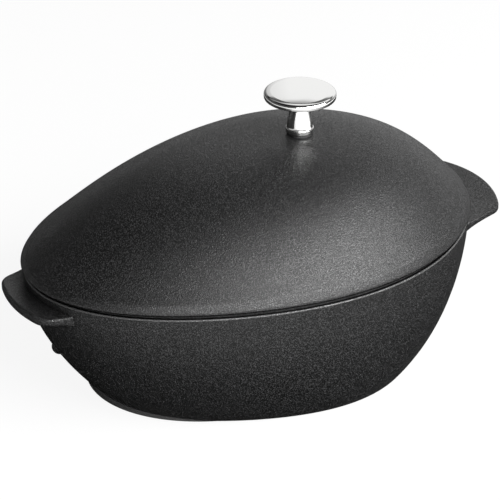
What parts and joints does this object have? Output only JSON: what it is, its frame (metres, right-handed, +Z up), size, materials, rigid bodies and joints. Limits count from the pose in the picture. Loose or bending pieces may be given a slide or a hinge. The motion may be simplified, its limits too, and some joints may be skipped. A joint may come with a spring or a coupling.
{
  "type": "mussel pot",
  "caption": "Egg-shaped cast-iron mussel pot with side lugs, a high domed lid with a turned metal knob, and a lift-out perforated strainer that keeps the shellfish above the liquid.",
  "frame": {"origin": "on the table, midway between the two lug tips and on the mirror plane", "axes": "+X along the pot to its broad end, +Y across it, +Z up through the knob"},
  "size_m": [0.3048, 0.1932, 0.1585],
  "materials": {
    "enamelled_iron": "matte black enamel with a fine grain",
    "polished_nickel": "polished nickel plate",
    "fastener_steel": "plain bright stainless",
    "strainer_steel": "satin stainless sheet"
  },
  "bodies": {
    "pot": {"pot": "enamelled_iron"},
    "lid": {"lid": "enamelled_iron", "knob": "polished_nickel", "knob_screw": "fastener_steel", "flat_washer": "fastener_steel", "spring_washer": "fastener_steel"},
    "strainer": {"strainer_plate": "strainer_steel", "strainer_legs": "strainer_steel"}
  },
  "joints": [
    {"name": "lid_lift", "type": "slide", "parent": "pot", "child": "lid", "axis": [0, 0, 1], "range_m": [0, 0.24]},
    {"name": "strainer_lift", "type": "slide", "parent": "pot", "child": "strainer", "axis": [0, 0, 1], "range_m": [0, 0.12]}
  ],
  "couplings": [
    {"joint": "strainer_lift", "follows": "lid_lift", "ratio": 0.5}
  ]
}
